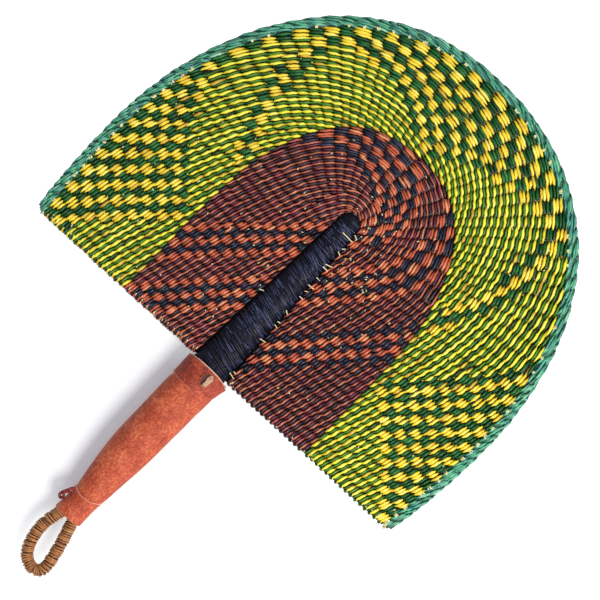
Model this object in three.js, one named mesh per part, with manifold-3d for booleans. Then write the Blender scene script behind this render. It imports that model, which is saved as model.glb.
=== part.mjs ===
// Woven grass hand fan: a blade twined on ribs round a wound straw spine, with a leather
// handle and a hanging loop. Millimetres, +Z up, the fan lies on its back.
// While it is laid out, Y = 0 is the bottom edge of the blade and Z = 0 its middle plane.
import * as THREE from 'three';
import { mergeVertices } from 'three/addons/utils/BufferGeometryUtils.js';
import Module from 'manifold-3d';

const wasm = await Module();
wasm.setup();

// Blade outline
const bladeHeight = 255.4;
const bladeHalfWidth = 155.8;
const bladeFootHalfWidth = 150.6;
const bladeArchHeight = 181.4;
const bladeArchFullness = 2.14; // 2 would be an ellipse
const bladeSideOffset = 1.7; // the hand-woven blade stands a little to the right of the handle
const bladeLean = 0.033; // and leans to the right as it rises
const hemSlope = 0.024; // its bottom edge rises to the right
const borderWidth = 8;
const borderThickness = 6.8;

// Inner field, which stands upright
const innerFieldHalfWidth = 76.7;
const innerFieldHeight = 185.5;
const innerFieldArchHeight = 119.8;
const innerFieldArchFullness = 2.34;
const innerFieldSideOffset = 3.1;

// Weft fabric of both fields
const weftThickness = 6;
const weftHollowDepth = 0.7; // how much thinner it is between the ribs
const fieldGap = 0.4;

// Ribs
const ribPitch = 6; // along the spine
const ribRimPitch = 6.87; // the ribs spread a little towards the rim
const ribWidth = 3.6;
const ribThickness = 2.4;
const ribNeckWidth = 1.4; // where a rib passes through the spine
const ribNeckLength = 0.6;
const ribTaperLength = 5;
const ribClearance = 0.3;
const tipRibCount = 10;
const tipRibRootWidth = 5;
const tipRibTines = 3;
const tineWidth = 2.6;
const tineOverlapLength = 1.5;
const ribEndGap = 0.8; // a rib stops this far inside its field

// Spine
const spineLength = 131.9;
const spineBaseHalfWidth = 13;
const spineTipHalfWidth = 7.5;
const spineBaseHalfThickness = 9;
const spineTipHalfThickness = 6;
const spineTipLength = 17; // stretch below the tip where the ribs radiate
const spineWindingThickness = 1.5;
const spineWindingClearance = 0.4;
const spineSeatGap = 0.4;
const windingTailRadius = 1.6;
const windingTailLength = 2.4;
const windingTailClearance = 0.3;

// Handle
const handleLength = 131.9;
const handleTopGap = 2.6;
const handleTopHalfWidth = 15;
const handleWaistHalfWidth = 13.4;
const handleGripHalfWidth = 14.4;
const handleGripHalfThickness = 11.8;
const handleGripLength = 42;
const handleTaperHalfWidth = 9.6;
const handleTaperHalfThickness = 8;
const handleEndHalfWidth = 8.3;
const handleEndHalfThickness = 6.8;
const leatherThickness = 1.2;
const leatherClearance = 0.3;
const upperCollarLength = 17;
const lowerCollarLength = 18;
const collarStepLength = 3; // stretch in which the sleeve draws in under a collar
const handleTaperFullness = 2.2; // above 1 the taper starts gently
const restFlatDepth = 0.5;

// Peg and lace
const pegHalfWidth = 1.9;
const pegHalfLength = 3.2;
const pegLength = 10;
const pegProudHeight = 0.4;
const pegOffset = 4.6;
const pegBelowBladeDistance = 8.2;
const fastenerClearance = 0.3;
const laceRadius = 0.9;
const laceKnotHalfWidth = 1.7;
const laceKnotHalfLength = 2.8;
const laceAboveEndDistance = 12.5;

// Hanging loop
const loopLength = 41.4;
const loopHalfWidth = 8.85; // at the middle of the rope
const loopSwingOffset = 5.2; // sideways drift of its lowest point
const loopExitOffset = 4.4;
const loopGripLength = 15; // rope held inside the sleeve
const ropeRadius = 2.4;
const ropeWindingThickness = 1.2;
const ropeWindingClearance = 0.3;
const ropeWindingTurns = 20;
const ropeWindingGap = 0.7;
const ropeLeadLength = 2.6;
const ropeFaceGap = 0.3;

// Facets
const ovalSides = 16;
const ropeSides = 7;
const ropeSteps = 22;
const roundSides = 12;
const spineTurnSteps = 16;
const ropeTurnSteps = 10;
const tailSteps = 4;
const domeSteps = 3;
const cutterOverrunLength = 3;
const mergeTolerance = 1e-4;

// Values that follow from the sizes
const crossRibCount = Math.floor((spineLength - spineTipLength) / ribPitch);
const archStart = crossRibCount * ribPitch;
const lastStation = 2 * crossRibCount + tipRibCount;
const innerFieldWidth = innerFieldHalfWidth - spineBaseHalfWidth;
const innerFieldShare = innerFieldWidth / (bladeFootHalfWidth - spineBaseHalfWidth);
const innerFieldPitch = ribPitch + (ribRimPitch - ribPitch) * innerFieldShare;
const bandHalfWidth = (ribPitch - ribNeckWidth) / 2 - spineWindingClearance;
const windingDepth = spineWindingThickness + spineWindingClearance;
const spineArcRadius = spineTipHalfWidth + spineSeatGap;
const spineArcCentre = spineLength - spineArcRadius;
const spineLastTurn = Math.floor((spineArcCentre - bandHalfWidth) / ribPitch);
const upperCollarFoot = -handleTopGap - upperCollarLength;
const lowerCollarTop = lowerCollarLength - handleLength;
const collarRise = leatherClearance + leatherThickness;

const straw = { cream: 0xd9bf8c, navy: 0x23264a, maroon: 0x6e3530, green: 0x5f7d22, teal: 0x2b8a70 };
const leatherColour = 0xbb5736;
const goldenStraw = 0xad7a3e;

const root = new THREE.Group();
const fan = new THREE.Group();
root.add(fan);

function place(name, geometry, color, roughness = 0.7) {
  const material = new THREE.MeshStandardMaterial({ color, roughness, metalness: 0, flatShading: true });
  const mesh = new THREE.Mesh(geometry, material);
  mesh.name = name;
  fan.add(mesh);
}

// A closed surface with its faces turned outwards
function surface(points, faces) {
  const corners = new Float32Array(points.length * 3);
  points.forEach((point, index) => point.toArray(corners, index * 3));
  let volume = 0;
  for (let face = 0; face < faces.length; face += 3) {
    const [a, b, c] = [points[faces[face]], points[faces[face + 1]], points[faces[face + 2]]];
    volume += a.dot(b.clone().cross(c));
  }
  const geometry = new THREE.BufferGeometry();
  geometry.setAttribute('position', new THREE.BufferAttribute(corners, 3));
  geometry.setIndex(volume > 0 ? faces : faces.slice().reverse());
  return geometry;
}

// Skin over rings that have the same number of points, capped at both ends or joined in a circle
function loft(rings, joined = false) {
  const size = rings[0].length;
  const faces = [];
  const spans = joined ? rings.length : rings.length - 1;
  for (let ring = 0; ring < spans; ring += 1) {
    const here = ring * size;
    const next = ((ring + 1) % rings.length) * size;
    for (let side = 0; side < size; side += 1) {
      const other = (side + 1) % size;
      faces.push(here + side, here + other, next + other);
      faces.push(here + side, next + other, next + side);
    }
  }
  if (!joined) {
    const last = (rings.length - 1) * size;
    for (let side = 1; side < size - 1; side += 1) {
      faces.push(0, side + 1, side);
      faces.push(last, last + side, last + side + 1);
    }
  }
  return surface(rings.flat(), faces);
}

function solidOf(geometry) {
  const bare = geometry.clone();
  bare.deleteAttribute('normal');
  bare.deleteAttribute('uv');
  const merged = mergeVertices(bare, mergeTolerance);
  return new wasm.Manifold(new wasm.Mesh({
    numProp: 3,
    vertProperties: new Float32Array(merged.getAttribute('position').array),
    triVerts: new Uint32Array(merged.getIndex().array),
  }));
}

function geometryOf(solid) {
  const mesh = solid.getMesh();
  const geometry = new THREE.BufferGeometry();
  geometry.setAttribute('position', new THREE.BufferAttribute(mesh.vertProperties, 3));
  geometry.setIndex(new THREE.BufferAttribute(mesh.triVerts, 1));
  return geometry;
}

function cut(geometry, cutters) {
  return geometryOf(cutters.reduce((solid, cutter) => solid.subtract(cutter), solidOf(geometry)));
}

const mix = THREE.MathUtils.lerp;

// The blade is laid out on U-shaped lines round the spine. A station counts along such a line:
// up the left side by one rib each, over the arch, and down the right side.
function archedLine(halfWidth, footHalfWidth, height, archHeight, fullness, sideOffset, lean, pitch) {
  const base = height - archHeight;
  const halfAt = (y) => {
    if (y < base) {
      return halfWidth - (halfWidth - footHalfWidth) * ((base - y) / base) ** 2;
    }
    return halfWidth * Math.max(1 - ((y - base) / archHeight) ** fullness, 0) ** (1 / fullness);
  };
  const power = (value, exponent) => Math.sign(value) * Math.abs(value) ** exponent;
  const firstAngle = Math.asin(power((crossRibCount * pitch - base) / archHeight, fullness / 2));
  return (station) => {
    const side = Math.min(station, lastStation - station);
    let y = side * pitch;
    if (side > crossRibCount) {
      const angle = mix(firstAngle, Math.PI / 2, (side - crossRibCount) / (tipRibCount / 2));
      y = base + archHeight * power(Math.sin(angle), 2 / fullness);
    }
    const x = station < lastStation / 2 ? -halfAt(y) : halfAt(y);
    const rise = hemSlope * x * (1 - y / bladeHeight);
    return new THREE.Vector2(x + sideOffset + lean * y, y + rise);
  };
}

function bladeLine(inset) {
  return archedLine(bladeHalfWidth - inset, bladeFootHalfWidth - inset, bladeHeight - inset,
    bladeArchHeight - inset, bladeArchFullness, bladeSideOffset, bladeLean, ribRimPitch);
}

function innerFieldLine(inset) {
  return archedLine(innerFieldHalfWidth - inset, innerFieldHalfWidth - inset, innerFieldHeight - inset,
    innerFieldArchHeight - inset, innerFieldArchFullness, innerFieldSideOffset, 0, innerFieldPitch);
}

const spineHalfWidth = (y) => mix(spineBaseHalfWidth, spineTipHalfWidth, y / spineArcCentre);
const spineHalfThickness = (y) => mix(spineBaseHalfThickness, spineTipHalfThickness, y / spineArcCentre);
const seatHalfWidth = (y) => spineHalfWidth(y) + spineSeatGap;

const tipPath = new THREE.Path();
tipPath.moveTo(-seatHalfWidth(archStart), archStart);
tipPath.lineTo(-spineArcRadius, spineArcCentre);
tipPath.absarc(0, spineArcCentre, spineArcRadius, Math.PI, 0, true);
tipPath.lineTo(seatHalfWidth(archStart), archStart);

function spineLine(station) {
  const side = Math.min(station, lastStation - station);
  if (side > crossRibCount) {
    return tipPath.getPointAt((station - crossRibCount) / tipRibCount);
  }
  const y = side * ribPitch;
  return new THREE.Vector2(Math.sign(station - lastStation / 2) * seatHalfWidth(y), y);
}

const innerFieldEdge = innerFieldLine(fieldGap / 2);
const outerFieldStart = innerFieldLine(-fieldGap / 2);
const ribFork = innerFieldLine(0);
const outerFieldEdge = bladeLine(borderWidth + fieldGap);
const ribEnd = bladeLine(borderWidth + fieldGap + ribEndGap);

// Stations on the ridges over the ribs and in the hollows between them
function fieldColumns(ribsPerStation) {
  const columns = [];
  const addStretch = (from, to, perStation) => {
    const count = Math.round((to - from) * perStation * 2);
    for (let step = 0; step < count; step += 1) {
      columns.push({ station: mix(from, to, step / count), ridge: step % 2 === 1 });
    }
  };
  addStretch(0, crossRibCount, 1);
  addStretch(crossRibCount, lastStation - crossRibCount, ribsPerStation);
  addStretch(lastStation - crossRibCount, lastStation, 1);
  columns.push({ station: lastStation, ridge: false });
  return columns;
}

function fabric(innerLine, outerLine, ribsPerStation) {
  const rings = fieldColumns(ribsPerStation).map(({ station, ridge }) => {
    const half = (weftThickness - (ridge ? 0 : weftHollowDepth)) / 2;
    const near = innerLine(station);
    const far = outerLine(station);
    return [[near, half], [far, half], [far, -half], [near, -half]]
      .map(([point, z]) => new THREE.Vector3(point.x, point.y, z));
  });
  return loft(rings);
}

// Border section: share of the width from its inner edge, share of the thickness
const borderSection = [[0, 0.42], [0.45, 0.5], [1, 0.26], [1, -0.26], [0.45, -0.5], [0, -0.42]];

function border() {
  const lines = borderSection.map(([across]) => bladeLine(borderWidth * (1 - across)));
  const stations = fieldColumns(tipRibTines)
    .filter(({ ridge }) => !ridge)
    .map(({ station }) => station);
  const rings = stations.map((station) => borderSection.map(([, height], index) => {
    const point = lines[index](station);
    return new THREE.Vector3(point.x, point.y, height * borderThickness);
  }));
  return loft(rings);
}

// Flat bar through points in plan, with a width at each. A swelled bar is the room that it needs.
function bar(points, widths, swell = 0) {
  const last = points.length - 1;
  const rings = points.map((point, index) => {
    const before = points[Math.max(index - 1, 0)];
    const after = points[Math.min(index + 1, last)];
    const along = after.clone().sub(before).normalize();
    const across = new THREE.Vector2(-along.y, along.x).multiplyScalar(widths[index] / 2 + swell);
    const centre = point.clone();
    if (swell > 0 && (index === 0 || index === last)) {
      centre.addScaledVector(along, index === 0 ? -cutterOverrunLength : cutterOverrunLength);
    }
    const half = ribThickness / 2 + swell;
    const left = centre.clone().add(across);
    const right = centre.clone().sub(across);
    return [[left, half], [right, half], [right, -half], [left, -half]]
      .map(([corner, z]) => new THREE.Vector3(corner.x, corner.y, z));
  });
  return loft(rings);
}

function crossRib(index, swell) {
  const station = index + 0.5;
  const y = station * ribPitch;
  const neck = seatHalfWidth(y) + ribNeckLength;
  const taper = neck + ribTaperLength;
  const points = [
    ribEnd(station),
    new THREE.Vector2(-taper, y),
    new THREE.Vector2(-neck, y),
    new THREE.Vector2(neck, y),
    new THREE.Vector2(taper, y),
    ribEnd(lastStation - station),
  ];
  return bar(points, [ribWidth, ribWidth, ribNeckWidth, ribNeckWidth, ribWidth, ribWidth], swell);
}

// A tip rib divides into tines where the outer field starts
function tipRib(index, swell) {
  const station = crossRibCount + index + 0.5;
  const fork = ribFork(station);
  let rib = solidOf(bar([spineLine(station), fork], [ribNeckWidth, tipRibRootWidth], swell));
  for (let tine = 0; tine < tipRibTines; tine += 1) {
    const spread = (tine + 0.5) / tipRibTines - 0.5;
    const end = ribEnd(station + spread);
    const start = fork.clone().addScaledVector(fork.clone().sub(end).normalize(), tineOverlapLength);
    rib = rib.add(solidOf(bar([start, end], [tineWidth, tineWidth], swell)));
  }
  return rib;
}

function oval(y, halfWidth, halfThickness) {
  return Array.from({ length: ovalSides }, (_, side) => {
    const angle = (2 * Math.PI * side) / ovalSides;
    return new THREE.Vector3(halfWidth * Math.cos(angle), y, halfThickness * Math.sin(angle));
  });
}

// Outside of the leather sleeve from top to bottom: y, half width, half thickness
const gripFoot = upperCollarFoot - collarStepLength - handleGripLength;
const taperFoot = lowerCollarTop + collarStepLength / 2;
const sleeveProfile = [
  [-handleTopGap - leatherClearance, handleTopHalfWidth, handleGripHalfThickness],
  [upperCollarFoot, handleWaistHalfWidth, handleGripHalfThickness],
  [upperCollarFoot - collarStepLength, handleGripHalfWidth, handleGripHalfThickness],
];
const taperSteps = 4;
for (let step = 0; step <= taperSteps; step += 1) {
  const share = step / taperSteps;
  const drawnIn = share ** handleTaperFullness;
  sleeveProfile.push([
    mix(gripFoot, taperFoot, share),
    mix(handleGripHalfWidth, handleTaperHalfWidth, drawnIn),
    mix(handleGripHalfThickness, handleTaperHalfThickness, drawnIn),
  ]);
}
sleeveProfile.push([lowerCollarTop - collarStepLength / 2, handleEndHalfWidth, handleEndHalfThickness]);
sleeveProfile.push([-handleLength, handleEndHalfWidth, handleEndHalfThickness]);

function sleeveAt(y) {
  const after = Math.max(sleeveProfile.findIndex(([foot]) => foot <= y), 1);
  const [top, foot] = [sleeveProfile[after - 1], sleeveProfile[after]];
  const share = (y - top[0]) / (foot[0] - top[0]);
  return [mix(top[1], foot[1], share), mix(top[2], foot[2], share)];
}

// A tube between two grown copies of the sleeve's outside
function leatherTube(levels, inside, outside) {
  const ring = (y, growth) => {
    const [halfWidth, halfThickness] = sleeveAt(y);
    return oval(y, halfWidth + growth, halfThickness + growth);
  };
  const outer = levels.map((y) => ring(y, outside));
  const inner = levels.map((y) => ring(y, inside)).reverse();
  return loft([...outer, ...inner], true);
}

const sleeveLevels = sleeveProfile.map(([y]) => y);
const upperCollarLevels = [-handleTopGap, upperCollarFoot];
const lowerCollarLevels = [lowerCollarTop - collarStepLength / 2, -handleLength];

// One bundle of straw fills the handle and carries the spine winding
const coreFoot = loopGripLength + leatherClearance - handleLength;
const coreInset = leatherThickness + leatherClearance;

function strawCore() {
  const rings = [];
  const handleLevels = sleeveLevels.filter((y) => y > coreFoot);
  [coreFoot, ...handleLevels.reverse()].forEach((y) => {
    const [halfWidth, halfThickness] = sleeveAt(y);
    rings.push(oval(y, halfWidth - coreInset, halfThickness - coreInset));
  });
  const spineRing = (y, share) => {
    const level = Math.min(y, spineArcCentre);
    return oval(y, (spineHalfWidth(level) - windingDepth) * share,
      (spineHalfThickness(level) - windingDepth) * share);
  };
  rings.push(spineRing(-handleTopGap + leatherClearance, 1));
  const domeHeight = spineArcRadius - spineSeatGap;
  for (let step = 0; step <= domeSteps; step += 1) {
    const angle = (step / (domeSteps + 0.5)) * (Math.PI / 2);
    rings.push(spineRing(spineArcCentre + domeHeight * Math.sin(angle), Math.cos(angle)));
  }
  return loft(rings);
}

// Flat band along a path of frames: it is widest at half its thickness
function band(frames, thickness, swell = 0) {
  const half = thickness / 2 + swell;
  const corners = [[1, 0], [0.6, 1], [-0.6, 1], [-1, 0], [-0.6, -1], [0.6, -1]];
  return frames.map(({ position, tangent, normal, halfWidth }) => {
    const sideways = tangent.clone().cross(normal).normalize();
    return corners.map(([across, out]) => position.clone()
      .addScaledVector(sideways, across * (halfWidth + swell))
      .addScaledVector(normal, out * half));
  });
}

// Frames that bend a band inwards from its surface and then run straight in
function windingTail({ position, tangent, normal, halfWidth }) {
  const frames = [];
  for (let step = 1; step <= tailSteps; step += 1) {
    const angle = (step / tailSteps) * (Math.PI / 2);
    const [sin, cos] = [Math.sin(angle), Math.cos(angle)];
    frames.push({
      position: position.clone().addScaledVector(tangent, windingTailRadius * sin)
        .addScaledVector(normal, -windingTailRadius * (1 - cos)),
      tangent: tangent.clone().multiplyScalar(cos).addScaledVector(normal, -sin),
      normal: normal.clone().multiplyScalar(cos).addScaledVector(tangent, sin),
      halfWidth,
    });
  }
  const bend = frames[tailSteps - 1];
  const end = bend.position.clone().addScaledVector(bend.tangent, windingTailLength);
  frames.push({ ...bend, position: end });
  return frames;
}

const turned = (frame) => ({ ...frame, tangent: frame.tangent.clone().negate() });

// The spine winding crosses the front level, and climbs to its next turn across the back,
// so that every rib leaves the spine between two turns.
const climbAngle = THREE.MathUtils.degToRad(50);

function spineWindingHeight(angle) {
  const turn = Math.round(angle / (2 * Math.PI));
  const past = angle - turn * 2 * Math.PI;
  const climbed = THREE.MathUtils.smoothstep(past, -climbAngle, climbAngle);
  return ribPitch * THREE.MathUtils.clamp(turn - 1 + climbed, 0, spineLastTurn);
}

function spineWindingPoint(angle) {
  const y = spineWindingHeight(angle);
  const inset = spineWindingThickness / 2;
  return new THREE.Vector3(
    -(spineHalfWidth(y) - inset) * Math.sin(angle),
    y,
    -(spineHalfThickness(y) - inset) * Math.cos(angle),
  );
}

function spineWindingFrame(angle) {
  const nudge = 0.01;
  const position = spineWindingPoint(angle);
  const tangent = spineWindingPoint(angle + nudge).sub(spineWindingPoint(angle - nudge)).normalize();
  const flat = new THREE.Vector3(tangent.x, 0, tangent.z).normalize();
  const normal = new THREE.Vector3(0, 1, 0).cross(flat).negate();
  return { position, tangent, normal, halfWidth: bandHalfWidth };
}

const spineTurns = Array.from({ length: (spineLastTurn + 1) * spineTurnSteps + 1 }, (_, step) => (
  spineWindingFrame((step / spineTurnSteps) * 2 * Math.PI)));
const spineStartTail = windingTail(turned(spineTurns[0])).reverse().map(turned);
const spineEndTail = windingTail(spineTurns[spineTurns.length - 1]);
const spineWindingRings = band([...spineStartTail, ...spineTurns, ...spineEndTail], spineWindingThickness);

function tailPocket(frames) {
  return solidOf(loft(band(frames, spineWindingThickness, windingTailClearance)));
}

// A tail's pocket reaches a little past the tail's end
function deepened(frames) {
  const end = frames[frames.length - 1];
  const deeper = end.position.clone().addScaledVector(end.tangent, windingTailClearance);
  return [...frames.slice(0, -1), { ...end, position: deeper }];
}

// Hanging loop: shares of its depth and half width on the way down
const loopShape = [[0, loopExitOffset / loopHalfWidth], [0.33, 0.92], [0.62, 1], [0.8, 0.92], [0.93, 0.66]];
const ropeHalf = ropeRadius + ropeWindingClearance + ropeWindingThickness;
const loopDepth = loopLength - ropeHalf;

function loopPoint(side, depthShare, widthShare) {
  const x = side * loopHalfWidth * widthShare + loopSwingOffset * depthShare ** 2;
  return new THREE.Vector3(x, -handleLength - loopDepth * depthShare, 0);
}

const loopCurve = new THREE.CatmullRomCurve3([
  ...loopShape.map(([depth, width]) => loopPoint(-1, depth, width)),
  loopPoint(0, 1, 0),
  ...loopShape.map(([depth, width]) => loopPoint(1, depth, width)).reverse(),
], false, 'centripetal');
const loopRun = loopCurve.getLength();

function loopFrame(distance) {
  const share = THREE.MathUtils.clamp(distance / loopRun, 0, 1);
  const along = loopCurve.getTangentAt(share);
  return {
    position: loopCurve.getPointAt(share),
    along,
    inward: new THREE.Vector3(-along.y, along.x, 0),
  };
}

function ropeRing(position, along) {
  const across = new THREE.Vector3(-along.y, along.x, 0);
  return Array.from({ length: ropeSides }, (_, side) => {
    const angle = (2 * Math.PI * side) / ropeSides;
    return position.clone().addScaledVector(across, ropeRadius * Math.cos(angle))
      .add(new THREE.Vector3(0, 0, ropeRadius * Math.sin(angle)));
  });
}

function loopRope() {
  const down = new THREE.Vector3(0, -1, 0);
  const up = new THREE.Vector3(0, 1, 0);
  const held = (x, along) => ropeRing(new THREE.Vector3(x, loopGripLength - handleLength, 0), along);
  const rings = [held(-loopExitOffset, down)];
  for (let step = 0; step <= ropeSteps; step += 1) {
    const { position, along } = loopFrame((step / ropeSteps) * loopRun);
    rings.push(ropeRing(position, along));
  }
  rings.push(held(loopExitOffset, up));
  return loft(rings);
}

// The rope winding on the unrolled rope: it leaves the collar straight, bends into its turns,
// and runs straight to the collar again.
const ropeWindingRadius = ropeRadius + ropeWindingClearance + ropeWindingThickness / 2;
const ropeGirth = 2 * Math.PI * ropeWindingRadius;
const ropeBend = ropeLeadLength;
const ropeTurnsStart = ropeFaceGap + ropeLeadLength + ropeBend;
const ropeWindingPitch = (loopRun - 2 * ropeTurnsStart) / ropeWindingTurns;

function ropeWindingFrames() {
  const lead = [new THREE.Vector2(0, ropeFaceGap)];
  for (let step = 0; step < tailSteps; step += 1) {
    const angle = (step / tailSteps) * (Math.PI / 2);
    lead.push(new THREE.Vector2(
      ropeBend * (1 - Math.cos(angle)),
      ropeFaceGap + ropeLeadLength + ropeBend * Math.sin(angle),
    ));
  }
  const end = new THREE.Vector2(2 * ropeBend + ropeGirth * ropeWindingTurns, loopRun);
  const turns = Array.from({ length: ropeWindingTurns * ropeTurnSteps + 1 }, (_, step) => {
    const count = step / ropeTurnSteps;
    return new THREE.Vector2(ropeBend + ropeGirth * count, ropeTurnsStart + ropeWindingPitch * count);
  });
  const path = [...lead, ...turns, ...lead.map((point) => end.clone().sub(point)).reverse()];
  return path.map((point, index) => {
    const before = path[Math.max(index - 1, 0)];
    const after = path[Math.min(index + 1, path.length - 1)];
    const heading = after.clone().sub(before).normalize();
    const { position, along, inward } = loopFrame(point.y);
    const angle = point.x / ropeWindingRadius;
    const up = new THREE.Vector3(0, 0, 1);
    const normal = inward.clone().multiplyScalar(Math.cos(angle)).addScaledVector(up, Math.sin(angle));
    const around = up.clone().multiplyScalar(Math.cos(angle)).addScaledVector(inward, -Math.sin(angle));
    const onRope = (distance) => {
      const frame = loopFrame(distance);
      return frame.position.addScaledVector(frame.inward, ropeWindingRadius * Math.cos(angle));
    };
    const room = onRope(point.y + ropeWindingPitch / 2).distanceTo(onRope(point.y - ropeWindingPitch / 2));
    return {
      position: position.addScaledVector(normal, ropeWindingRadius),
      tangent: around.multiplyScalar(heading.x).addScaledVector(along, heading.y).normalize(),
      normal,
      halfWidth: (room - ropeWindingGap) / 2,
    };
  });
}

const ropeWindingRings = band(ropeWindingFrames(), ropeWindingThickness);

// Least distance between points of a winding that are more than half a turn apart
function leastGap(rings, stepsPerTurn) {
  let least = Infinity;
  const apart = Math.ceil(stepsPerTurn / 2);
  rings.forEach((ring, index) => {
    rings.slice(index + apart).forEach((other) => {
      ring.forEach((point) => {
        other.forEach((far) => {
          least = Math.min(least, point.distanceToSquared(far));
        });
      });
    });
  });
  return Math.sqrt(least);
}

function upright(halfWidth, halfLength, height, x, y, topZ) {
  const geometry = new THREE.CylinderGeometry(1, 1, height, roundSides);
  geometry.rotateX(Math.PI / 2);
  geometry.scale(halfWidth, halfLength, 1);
  geometry.translate(x, y, topZ - height / 2);
  return geometry;
}

// Peg through the leather into the core
const pegSleeve = sleeveAt(-pegBelowBladeDistance);
const [collarHalfWidth, collarHalfThickness] = pegSleeve.map((half) => half + collarRise);
const collarTop = collarHalfThickness * Math.sqrt(1 - (pegOffset / collarHalfWidth) ** 2);
const pegTop = collarTop + pegProudHeight;
const pegHole = solidOf(upright(
  pegHalfWidth + fastenerClearance,
  pegHalfLength + fastenerClearance,
  pegLength + fastenerClearance + cutterOverrunLength,
  pegOffset,
  -pegBelowBladeDistance,
  pegTop + cutterOverrunLength,
));

// Lace end through the side of the lower collar, with its knot outside
const laceY = laceAboveEndDistance - handleLength;
const laceInner = -(handleEndHalfWidth + leatherClearance);
const laceOuter = -(handleEndHalfWidth + collarRise);

function laceStem(radius, from, to) {
  const geometry = new THREE.CylinderGeometry(radius, radius, from - to, roundSides);
  geometry.rotateZ(Math.PI / 2);
  geometry.translate((from + to) / 2, laceY, 0);
  return solidOf(geometry);
}

function collarLace() {
  const knot = new THREE.SphereGeometry(1, roundSides, roundSides / 2);
  knot.scale(laceKnotHalfWidth, laceKnotHalfLength, laceKnotHalfWidth);
  const knotX = laceOuter - fastenerClearance - laceKnotHalfWidth;
  knot.translate(knotX, laceY, 0);
  return geometryOf(solidOf(knot).add(laceStem(laceRadius, laceInner, knotX)));
}

const laceHole = laceStem(
  laceRadius + fastenerClearance,
  laceInner + cutterOverrunLength,
  laceOuter - cutterOverrunLength,
);

// Flat under the upper collar, where the fan rests
function restCutter() {
  const depth = handleGripHalfThickness + collarRise - restFlatDepth;
  const size = 2 * handleTopHalfWidth + handleLength;
  const box = new THREE.BoxGeometry(size, size, size);
  box.translate(0, -handleTopGap - upperCollarLength / 2, -depth - size / 2);
  return solidOf(box);
}

const ribNumbers = (count) => Array.from({ length: count }, (_, index) => index);
const twoDigits = (index) => String(index + 1).padStart(2, '0');
const crossRibRooms = ribNumbers(crossRibCount).map((index) => solidOf(crossRib(index, ribClearance)));
const ribRooms = [...crossRibRooms, ...ribNumbers(tipRibCount).map((index) => tipRib(index, ribClearance))];
const tailPockets = [
  tailPocket(deepened([spineTurns[0], ...spineStartTail.map(turned).reverse()])),
  tailPocket(deepened([spineTurns[spineTurns.length - 1], ...spineEndTail])),
];

place('straw_core', cut(strawCore(), [...crossRibRooms, ...tailPockets, pegHole]), straw.cream);
place('spine_winding', loft(spineWindingRings), straw.navy, 0.5);
place('inner_field_weft', cut(fabric(spineLine, innerFieldEdge, 1), ribRooms), straw.maroon);
place('outer_field_weft', cut(fabric(outerFieldStart, outerFieldEdge, tipRibTines), ribRooms), straw.green);
place('border_weft', border(), straw.teal);
ribNumbers(crossRibCount).forEach((index) => {
  place(`cross_rib_${twoDigits(index)}`, crossRib(index), straw.cream);
});
ribNumbers(tipRibCount).forEach((index) => {
  place(`tip_rib_${twoDigits(index)}`, geometryOf(tipRib(index)), straw.cream);
});
place('leather_sleeve', cut(leatherTube(sleeveLevels, -leatherThickness, 0), [pegHole]), leatherColour);
const upperCollar = leatherTube(upperCollarLevels, leatherClearance, collarRise);
const lowerCollar = leatherTube(lowerCollarLevels, leatherClearance, collarRise);
place('upper_collar', cut(upperCollar, [pegHole, restCutter()]), leatherColour);
place('lower_collar', cut(lowerCollar, [laceHole]), leatherColour);
const peg = upright(pegHalfWidth, pegHalfLength, pegLength, pegOffset, -pegBelowBladeDistance, pegTop);
place('handle_peg', peg, straw.cream);
place('collar_lace', collarLace(), leatherColour);
place('hanging_loop_rope', loopRope(), goldenStraw);
place('hanging_loop_winding', loft(ropeWindingRings), goldenStraw);

console.log('spine winding, least gap to itself', leastGap(spineWindingRings, spineTurnSteps).toFixed(2));
console.log('loop winding, least gap to itself', leastGap(ropeWindingRings, ropeTurnSteps).toFixed(2));

// The origin is under the middle of the fan, on the surface that it rests on
const box = new THREE.Box3().setFromObject(fan);
const middle = box.getCenter(new THREE.Vector3());
fan.position.set(-middle.x, -middle.y, -box.min.z);

export default root;
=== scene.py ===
import math

import bpy
import numpy as np
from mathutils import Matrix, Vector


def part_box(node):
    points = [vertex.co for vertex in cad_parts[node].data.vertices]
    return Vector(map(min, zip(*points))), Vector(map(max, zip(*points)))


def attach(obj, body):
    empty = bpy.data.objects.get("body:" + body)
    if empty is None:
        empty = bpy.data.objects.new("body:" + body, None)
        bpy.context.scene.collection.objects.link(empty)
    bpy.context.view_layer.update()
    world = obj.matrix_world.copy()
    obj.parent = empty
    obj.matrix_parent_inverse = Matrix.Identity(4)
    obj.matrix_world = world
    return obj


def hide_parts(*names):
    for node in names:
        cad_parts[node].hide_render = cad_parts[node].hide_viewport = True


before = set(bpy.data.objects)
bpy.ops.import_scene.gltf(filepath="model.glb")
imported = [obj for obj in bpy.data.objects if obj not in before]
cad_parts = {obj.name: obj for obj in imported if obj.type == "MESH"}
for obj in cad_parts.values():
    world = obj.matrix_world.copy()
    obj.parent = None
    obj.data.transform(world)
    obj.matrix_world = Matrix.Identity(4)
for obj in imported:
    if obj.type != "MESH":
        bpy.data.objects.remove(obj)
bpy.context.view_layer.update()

random = np.random.default_rng(11)
print("frame loaded:", len(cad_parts), "nodes")

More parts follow.
